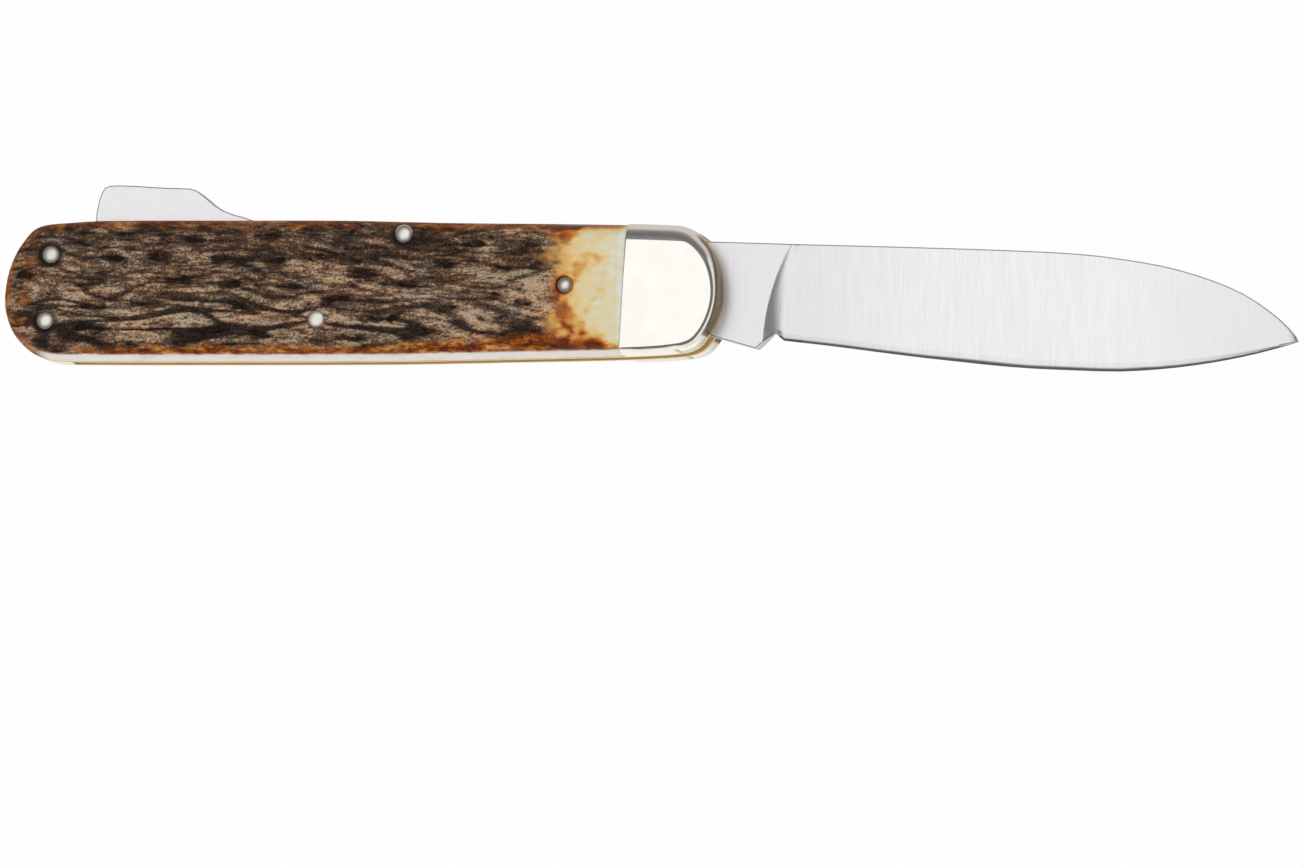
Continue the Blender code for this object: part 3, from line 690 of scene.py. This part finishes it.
def closeJoint(shape, upper, lower, inner):  # cuts off the overrun beside the scale
    joint = (lower - upper).normalized()
    away = Vector((joint.y, -joint.x, 0))
    if away.x > 0:
        away.negate()
    place = Vector((*upper, 0))
    bmesh.ops.bisect_plane(
        shape, geom=[*shape.verts, *shape.edges, *shape.faces], plane_co=place, plane_no=away,
        clear_outer=True, dist=finish["weld"],
    )
    atJoint = [
        edge for edge in openEdges(shape)
        if all(abs((vert.co - place).dot(away)) < 2 * finish["weld"] for vert in edge.verts)
    ]
    ends = [vert for edge in atJoint for vert in edge.verts if abs(vert.co.z - inner) < finish["weld"]]
    atJoint.append(shape.edges.new((min(ends, key=lambda v: v.co.y), max(ends, key=lambda v: v.co.y))))
    bmesh.ops.contextual_create(shape, geom=atJoint)


def closeBack(shape, inner, seatRadius, seatFloor):  # with the blind hole that the pivot pin sits in
    seat = bmesh.ops.create_circle(
        shape, segments=bolster["seatSides"], radius=seatRadius, matrix=Matrix.Translation((0, 0, inner))
    )["verts"]
    rim = list({edge for vert in seat for edge in vert.link_edges})
    bmesh.ops.triangle_fill(shape, edges=[edge for edge in shape.edges if edge.is_boundary or edge.is_wire])
    deeper = bmesh.ops.extrude_edge_only(shape, edges=rim)["geom"]
    floor = [part for part in deeper if isinstance(part, bmesh.types.BMVert)]
    bmesh.ops.translate(shape, verts=floor, vec=(0, 0, seatFloor - inner))
    bmesh.ops.contextual_create(shape, geom=openEdges(shape))


def makeBolster(side):
    nodeName = side + "_bolster"
    low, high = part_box(nodeName)
    inner, face = (low.z, high.z) if side == "near" else (high.z, low.z)
    pinLow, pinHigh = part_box("blade_pivot_pin")
    seatRadius = (pinHigh.x - pinLow.x) / 2 + bolster["seatGap"]
    seatFloor = pinHigh.z if side == "near" else pinLow.z
    upper, lower, line = bolsterOutline(nodeName, low, high, inner, seatRadius)
    shape = bmesh.new()
    bolsterWall(shape, line, bolsterFaceLine(line), inner, face)
    closeJoint(shape, upper, lower, inner)
    closeBack(shape, inner, seatRadius, seatFloor)
    bmesh.ops.recalc_face_normals(shape, faces=shape.faces)
    roundSharpEdges(shape, bolster["edgeRound"], bolster["sharpAngle"])
    evenShading(makePiece(shape, side + "BolsterPolished", nickelSilver, "handle", "nickel_silver", nodeName))


for side in ("near", "far"):
    makeBolster(side)
print("bolsters ready")


# spring and plain pieces

shape = copyOf("lever_spring")
evenFlats(shape)
roundSharpEdges(shape, finish["springRound"], finish["sharpAngle"])
leaf = makePiece(shape, "leverLeaf", springSteel, None, "spring_steel", "lever_spring")
evenShading(leaf)
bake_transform(leaf)

for nodeName, material in {
    "near_liner": linerBrass, "far_liner": linerBrass, "butt_spacer": barSteel, "blade_pivot_pin": barSteel,
}.items():
    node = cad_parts[nodeName]
    node.material_slots[0].link = "OBJECT"
    node.material_slots[0].material = material
print("spring, liners and spacer ready")


# pins

pin = {
    "steps": 48,
    "shank": 0.0011,
    "head": 0.0014,
    "dome": 0.0005,
    "lip": 0.00008,
    "levels": 10,
    "bulge": {"front": 0.0006, "rear": 0.00026},  # how far the short pins' tops stand over their rims
    "bulgeLine": [(0, 0), (0.3, 0.07), (0.55, 0.22), (0.75, 0.43), (0.90, 0.7), (1, 1)],  # radius, drop
    "sharpAngle": math.radians(50),
}


def centreOf(nodeName):
    low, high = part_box(nodeName)
    return (low + high) / 2


def mirroredLine(half):
    return half + [(radius, -height) for radius, height in reversed(half)]


def spunPin(nodeName, name, half):
    shape = bmesh.new()
    corners = [shape.verts.new((radius, 0, height)) for radius, height in mirroredLine(half)]
    edges = [shape.edges.new(pair) for pair in zip(corners, corners[1:])]
    bmesh.ops.spin(
        shape, geom=corners + edges, cent=(0, 0, 0), axis=(0, 0, 1), dvec=(0, 0, 0),
        angle=2 * math.pi, steps=pin["steps"], use_merge=True, use_duplicate=False,
    )
    bmesh.ops.remove_doubles(shape, verts=shape.verts, dist=finish["weld"])
    bmesh.ops.recalc_face_normals(shape, faces=shape.faces)
    bmesh.ops.translate(shape, verts=shape.verts, vec=centreOf(nodeName))
    piece = makePiece(shape, name, pinNickel, "handle", "nickel_silver", nodeName)
    piece.data.set_sharp_from_angle(angle=pin["sharpAngle"])


def domedHalf(top):
    base = top - pin["dome"]
    turns = [math.pi / 2 * i / pin["levels"] for i in range(pin["levels"] + 1)]
    half = [(pin["head"] * math.sin(turn), base + pin["dome"] * math.cos(turn)) for turn in turns]
    return half + [(pin["head"] - pin["lip"], base - pin["lip"] / 4), (pin["shank"], base)]


def lowHalf(radius, top, bulge):
    return [(share * radius, top - drop * bulge) for share, drop in pin["bulgeLine"]]


for nodeName, name in {
    "butt_pin_upper": "buttPinUpper", "butt_pin_lower": "buttPinLower", "lock_bar_pin": "lockBarPin",
}.items():
    low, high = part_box(nodeName)
    spunPin(nodeName, name, domedHalf((high.z - low.z) / 2))
for side in ("near", "far"):
    for end, bulge in pin["bulge"].items():
        nodeName = f"{side}_scale_pin_{end}"
        low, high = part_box(nodeName)
        half = lowHalf((high.x - low.x) / 2, (high.z - low.z) / 2, bulge)
        spunPin(nodeName, f"{side}ScalePin{end.title()}", half)
print("pins ready")


# stag scales

bark = {  # turns are a noise's turns per millimetre along x and y
    "slant": (-62, 0.07),  # millimetres, from where the cracks fall towards the front, and how steeply
    "bendTurns": (0.10, 0.24),
    "smallBendTurns": (0.5, 1.0),
    "bendLayers": (31, 57),
    "long": {"turns": (0.085, 0.58), "bend": (0.4, 1.45), "layer": 8, "narrow": 4.2, "range": (0.1, 0.95)},
    "short": {"turns": (0.19, 1.0), "bend": (0.3, 1.0), "layer": 5, "narrow": 3.0, "range": (0.35, 1.0)},
    "longDepth": (0.28, 0.46),  # everywhere, and more in the lower half
    "shortDepth": 0.30,
    "lowerHalf": (2.0, -4.0),
    "broadTurns": (0.17, 0.42),
    "roughTurns": (0.42, 2.0),
    "level": 0.72,
    "swing": 0.30,
}


def noisePlace(x, y, turns, layer, shift=(0, 0)):
    return Vector((turns[0] * x + shift[0], turns[1] * y + shift[1], layer))


def roughNoise(x, y, turns, layer, falloff, octaves):
    return noise.fractal(noisePlace(x, y, turns, layer), falloff, 2.0, octaves)


def bendAt(x, y, turns, layer):  # how far the cracks are drawn aside, along x and y
    return Vector([noise.noise(noisePlace(x, y, turns, layer + apart)) for apart in bark["bendLayers"]])


def crackAt(x, y, crack, bend, seed):  # 1 in the middle of a crack
    shift = (crack["bend"][0] * bend[0], crack["bend"][1] * bend[1])
    line = noise.noise(noisePlace(x, y, crack["turns"], seed + crack["layer"], shift))
    return ease(*crack["range"], 1 - crack["narrow"] * abs(line))


def barkAt(x, y, seed):  # 1 on a ridge, 0 at the bottom of a crack; x and y in millimetres
    bend = bendAt(x, y, bark["bendTurns"], seed)
    small = bendAt(x, y, bark["smallBendTurns"], seed + 2)
    y += bark["slant"][1] * max(x - bark["slant"][0], 0)
    broad = noise.noise(noisePlace(x, y, bark["broadTurns"], seed + 21))
    rough = roughNoise(x, y, bark["roughTurns"], seed + 3, 0.7, 6)
    height = bark["level"] + bark["swing"] * (broad + rough)
    everywhere, lower = bark["longDepth"]
    longDepth = everywhere + lower * ease(*bark["lowerHalf"], y)
    height -= crackAt(x, y, bark["long"], (bend.x, bend.y), seed) * longDepth
    height -= crackAt(x, y, bark["short"], (small.x, bend.y), seed) * bark["shortDepth"]
    return min(max(height, 0), 1)


stag = {  # millimetres, and shares from 0 to 1; an inset is a distance from the outline
    "voxel": 0.21,
    "quickVoxel": 0.4,
    "seeds": {"near": 3.7, "far": 19.3},
    "wobbleTurns": (0.35, 0.5),
    "raggedTurns": (0.55, 0.9),
    "blotchTurns": (0.20, 0.24),
    "backShare": 0.03,  # of the thickness, that is drawn flat against the liner
    "holeReach": 1.7,  # walls nearer than this to a pin's axis are its hole
    "throughReach": 1.8,  # the relief starts at these distances from a pin's axis
    "shortReach": 1.38,
    "throughRim": (0, 0.9),
    "shortRim": (0, 0.5),
    "furrowDepth": 0.7,
    "furrowRange": (0.05, 0.95),
    "furrowShade": (0.38, 0.5),
    "roundedEdge": [(0, 0), (0.34, 0.5), (0.67, 0.72), (1.18, 0.86), (1.82, 0.96), (2.4, 1)],  # inset, height
    "depth": 0.38,  # of the bark's finer relief
    "depthInset": (0.4, 1.6),
    "worn": 0.08,  # taken off the whole outer face, more or less
    "wornShare": (0.6, 1),
    "outwardLeast": 0.25,
    "lights": [  # an amount, then the places it grows over
        (0.16, ("y", 1.5, -1.5), ("y", -8.0, -5.0)),
        (-0.13, ("y", 2.5, 6.0)),
        (0.13, ("x", -36.0, -22.0), ("y", -6.5, -4.0)),
    ],
    "below": [(1, ("y", 0.5, -1.5), ("x", -99.5, -96.5))],
    "wallShare": (0.80, 0.68),  # of the thickness, over which the sawn wall begins
    "wallRagged": 0.03,
    "polishReach": -19.0,  # where the bark gives way towards the bolster
    "polishBand": (-2.4, 2.4),
    "polishRagged": (1.6, 2.2),
    "stain": 0.14,
    "stainNearBark": 0.40,
    "nearBark": (-13.5, -19.0),
    "nearBarkRagged": 1.8,
    "blotch": [(0.34, ("x", -10.0, -12.5))],
    "blotchRange": (-0.05, 0.55),
    "bleached": [(-0.05, ("x", -12.5, -10.5)), (-0.10, ("x", -9.3, -8.9))],
    "stainBelow": 0.66,
    "stainBelowInset": [(4.8,), (-2.6, ("x", -13, -9.5))],
    "stainAbove": 0.74,
    "stainAboveInset": (1.7, 0.4),
    "stainRagged": 0.10,
    "rustWidth": [  # x, inset
        (-97, 0.3), (-90, 1.4), (-70, 2.0), (-52, 1.6), (-40, 2.1), (-30, 2.5), (-18, 3.2),
    ],
    "rustFrom": -96.9,
    "rustSoft": (0.7, -0.6),
    "rustRagged": 0.9,
    "rustAbove": 0.78,
    "rustAboveInset": (1.9, 0.5),
    "rustButt": [(0.55, ("x", -97.0, -101.0))],
    "rustButtWobble": (0.0, 0.3),
    "shadowReach": (0.45, -0.1),
    "shadowShort": 0.3,
    "shadowSide": (0.8, 0.6),
    "shadowDepth": (0.72, 0.28),
    "shadowShare": 0.8,
}


def placed(parts, x, y):
    total = 0
    for amount, *reaches in parts:
        for axis, low, high in reaches:
            amount *= ease(low, high, x if axis == "x" else y)
        total += amount
    return total


def stainAt(x, y, inset, below, ragged, blotch):
    nearBark = ease(*stag["nearBark"], x + stag["nearBarkRagged"] * ragged)
    stain = stag["stain"] + stag["stainNearBark"] * nearBark
    stain += blotch * placed(stag["blotch"], x, y) + placed(stag["bleached"], x, y)
    reach = placed(stag["stainBelowInset"], x, y)
    stain += stag["stainBelow"] * below * ease(reach, 1.0, inset + ragged)
    stain += stag["stainAbove"] * (1 - below) * ease(*stag["stainAboveInset"], inset + 0.3 * ragged)
    return min(max(stain + stag["stainRagged"] * ragged, 0), 1)


def rustAt(x, y, inset, below, ragged, wobble):
    width = alongLine(stag["rustWidth"], max(x, stag["rustFrom"]))
    outer, inner = stag["rustSoft"]
    band = ease(width + outer, width + inner, inset + stag["rustRagged"] * ragged)
    thin = ease(*stag["rustAboveInset"], inset + ragged) * stag["rustAbove"]
    thin += placed(stag["rustButt"], x, y) * ease(*stag["rustButtWobble"], wobble)
    return max(band * below, min(thin, 1) * (1 - below))


def shadowAt(x, y, gap, centres):  # painted shadow, darker on the side of a pin's recess that faces the lower left
    reach, centre = min((math.hypot(x - c.x, y - c.y), c) for c in centres)
    sideX, sideY = stag["shadowSide"]
    turned = (sideX * (x - centre.x) + sideY * (y - centre.y)) / max(reach, 0.1)
    plain, oneSided = stag["shadowDepth"]
    return ease(*stag["shadowReach"], gap) * (plain - oneSided * turned)


def evenBlock(nodeName):  # the node's solid with small faces of one size
    block = bpy.data.objects.new("block", bpy.data.meshes.new("block"))
    shape = copyOf(nodeName)
    shape.to_mesh(block.data)
    shape.free()
    scene.collection.objects.link(block)
    remesh = block.modifiers.new("evenFaces", "REMESH")
    remesh.mode = "VOXEL"
    remesh.voxel_size = stag["voxel"] * mm
    bpy.context.view_layer.update()
    shape = bmesh.new()
    shape.from_mesh(block.evaluated_get(bpy.context.evaluated_depsgraph_get()).to_mesh())
    bpy.data.objects.remove(block, do_unlink=True)
    return shape


def outlineTree(shape, inner, jointX, centres):  # finds how far a place is from the scale's outline
    outline = [
        vert.co / mm for vert in shape.verts
        if abs(vert.co.z - inner) < 2 * stag["voxel"] * mm and abs(vert.normal.z) < 0.5
        and vert.co.x / mm < jointX - 1
        and all(math.hypot(vert.co.x / mm - c.x, vert.co.y / mm - c.y) > stag["holeReach"] for c in centres)
    ]
    tree = KDTree(len(outline))
    for i, place in enumerate(outline):
        tree.insert((place.x, place.y, 0), i)
    tree.balance()
    return tree


def makeScale(side):
    seed = stag["seeds"][side]
    nodeName = side + "_scale"
    low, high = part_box(nodeName)
    inner, face = (low.z, high.z) if side == "near" else (high.z, low.z)
    outward = 1 if side == "near" else -1
    shape = evenBlock(nodeName)
    # the hollow layer holds painted shadow in the pins' recesses
    names = ("bark", "polish", "stain", "rust", "pale", "hollow")
    layers = {name: shape.verts.layers.float.new(name) for name in names}
    through = [centreOf(name) / mm for name in ("butt_pin_upper", "butt_pin_lower", "lock_bar_pin")]
    short = [centreOf(f"{side}_scale_pin_{end}") / mm for end in pin["bulge"]]
    tree = outlineTree(shape, inner, high.x / mm, through + short)
    shape.normal_update()
    for vert in shape.verts:
        x, y = vert.co.x / mm, vert.co.y / mm
        share = (vert.co.z - inner) / (face - inner)
        if share < stag["backShare"]:
            vert.co.z = inner
            continue
        inset = tree.find((x, y, 0))[2]
        wobble = noise.noise(noisePlace(x, y, stag["wobbleTurns"], seed + 11))
        ragged = roughNoise(x, y, stag["raggedTurns"], seed + 13, 0.8, 4)
        blotch = ease(*stag["blotchRange"], roughNoise(x, y, stag["blotchTurns"], seed + 17, 0.7, 3))
        byWobble, byRagged = stag["polishRagged"]
        pastBark = x - stag["polishReach"] + byWobble * wobble + byRagged * ragged
        polished = ease(*stag["polishBand"], pastBark)
        throughGap = min(math.hypot(x - c.x, y - c.y) for c in through) - stag["throughReach"]
        shortGap = min(math.hypot(x - c.x, y - c.y) for c in short) - stag["shortReach"]
        rim = ease(*stag["throughRim"], throughGap) * ease(*stag["shortRim"], shortGap)
        below = placed(stag["below"], x, y)

        height = barkAt(x, y, seed)
        depth = stag["depth"] * (1 - height) * ease(*stag["depthInset"], inset) * rim * (1 - polished)
        depth += stag["worn"] * ease(*stag["wornShare"], share) * (1 + wobble)
        if vert.normal.z * outward > stag["outwardLeast"]:
            vert.co.z -= outward * depth * mm

        sunk = (alongLine(stag["roundedEdge"], inset) - share) * abs(face - inner) / mm / stag["furrowDepth"]
        sunk = ease(*stag["furrowRange"], sunk) * rim
        shade, shadeRagged = stag["furrowShade"]
        tone = height + placed(stag["lights"], x, y) - (shade + shadeRagged * ragged) * sunk
        vert[layers["bark"]] = min(max(tone, 0), 1)
        vert[layers["polish"]] = polished
        vert[layers["stain"]] = stainAt(x, y, inset, below, ragged, blotch)
        vert[layers["rust"]] = rustAt(x, y, inset, below, ragged, wobble)
        vert[layers["pale"]] = ease(*stag["wallShare"], share + stag["wallRagged"] * ragged) * below
        # painted shadow in the pins' recesses
        if share > stag["shadowShare"]:
            gap = min(throughGap, shortGap + stag["shadowShort"])
            vert[layers["hollow"]] = shadowAt(x, y, gap, through + short)
    back = [
        face for face in shape.faces
        if all(abs(vert.co.z - inner) < finish["weld"] for vert in face.verts)
    ]
    bmesh.ops.delete(shape, geom=back, context="FACES")
    bmesh.ops.triangle_fill(shape, edges=openEdges(shape))
    makePiece(shape, side + "StagScale", stagAntler, "handle", "stag", nodeName)


stagLook = {
    "fine": ((2.6, 4.0, 3.4), 6, 0.85),  # turns per millimetre, detail, roughness
    "sand": ((0.9, 2.2, 1.5), 4, 0.65),
    "patches": ((0.30, 0.75, 0.5), 4, 0.7),
    "hues": ((0.11, 0.32, 0.3), 3, 0.6),
    "fineRange": (0.36, 0.64, -0.42, 0.42),
    "sandRange": (0.3, 0.7, -0.15, 0.15),
    "barkTones": [
        (0.0, printed(22, 16, 13)), (0.22, printed(48, 36, 27)), (0.46, printed(78, 60, 47)),
        (0.66, printed(107, 84, 67)), (0.86, printed(152, 125, 102)), (1.0, printed(200, 177, 147)),
    ],
    "yellows": (printed(78, 56, 34), printed(186, 150, 96)),
    "yellowRange": (0.4, 1.0, 0, 1),
    "yellowPatches": (0.57, 0.66, 0, 0.7),
    "warmAndCool": ((1.12, 0.96, 0.86), (0.90, 0.97, 1.0)),
    "hueRange": (0.40, 0.60, 0, 1),
    "rustTones": [
        (0.38, printed(62, 22, 0)), (0.455, printed(110, 45, 1)), (0.52, printed(156, 78, 10)),
        (0.58, printed(190, 126, 56)), (0.65, printed(214, 170, 114)),
    ],
    "rustBlend": (0.65, 0.35),
    "stainTones": [
        (0.0, printed(226, 228, 222)), (0.06, printed(228, 220, 188)), (0.30, printed(229, 201, 138)),
        (0.50, printed(222, 170, 94)), (0.68, printed(196, 118, 44)), (0.84, printed(140, 62, 12)),
        (1.0, printed(96, 38, 6)),
    ],
    "stainSand": (0.3, 0.7, -0.07, 0.07),
    "wallTones": [
        (0.25, printed(226, 200, 176)), (0.45, printed(244, 234, 224)), (0.75, printed(250, 245, 238)),
    ],
    "paintedPinShadow": printed(48, 38, 30),
    "roughness": (0.62, 0.27),  # of bark, and of polished or sawn antler
    "grainShare": (1, 0.06),
    "grainDepth": 0.00012,
    "grainStrength": 0.8,
    "shine": 0.2,
}


def stagMaterial():
    look = stagLook
    material, tree, shader = newMaterial("stagAntler")
    fine, sand, patches, hues = (
        stretchedNoise(tree, *look[name]) for name in ("fine", "sand", "patches", "hues")
    )
    uneven = arithmetic(tree, "ADD", attribute(tree, "bark"), ranged(tree, fine, *look["fineRange"]))
    height = arithmetic(tree, "ADD", uneven, ranged(tree, sand, *look["sandRange"]))
    yellow = mixed(tree, ranged(tree, height, *look["yellowRange"]), *look["yellows"])
    inPatches = ranged(tree, patches, *look["yellowPatches"])
    barkTone = mixed(tree, inPatches, ramped(tree, height, look["barkTones"]), yellow)
    warmth = mixed(tree, ranged(tree, hues, *look["hueRange"]), *look["warmAndCool"])
    barkTone = mixed(tree, 1.0, barkTone, warmth, "MULTIPLY")

    rustParts = [
        arithmetic(tree, "MULTIPLY", value, share)
        for value, share in zip((patches, sand), look["rustBlend"])
    ]
    blotched = arithmetic(tree, "ADD", *rustParts)
    edged = mixed(tree, attribute(tree, "rust"), barkTone, ramped(tree, blotched, look["rustTones"]))
    spread = arithmetic(tree, "ADD", attribute(tree, "stain"), ranged(tree, sand, *look["stainSand"]))
    polished = mixed(tree, attribute(tree, "polish"), edged, ramped(tree, spread, look["stainTones"]))
    walled = mixed(tree, attribute(tree, "pale"), polished, ramped(tree, patches, look["wallTones"]))
    # painted shadow around the pins, from the hollow layer
    final = mixed(tree, attribute(tree, "hollow"), walled, look["paintedPinShadow"])
    tree.links.new(final, shader.inputs["Base Color"])

    smoothness = arithmetic(tree, "MAXIMUM", attribute(tree, "polish"), attribute(tree, "pale"))
    tree.links.new(ranged(tree, smoothness, 0, 1, *look["roughness"]), shader.inputs["Roughness"])
    shader.inputs["Specular IOR Level"].default_value = look["shine"]
    grain = arithmetic(tree, "MULTIPLY", fine, ranged(tree, smoothness, 0, 1, *look["grainShare"]))
    addBump(tree, shader, grain, look["grainDepth"], look["grainStrength"])
    return material


stagAntler = stagMaterial()
for side in ("near", "far"):
    makeScale(side)
    print(side, "stag scale ready")
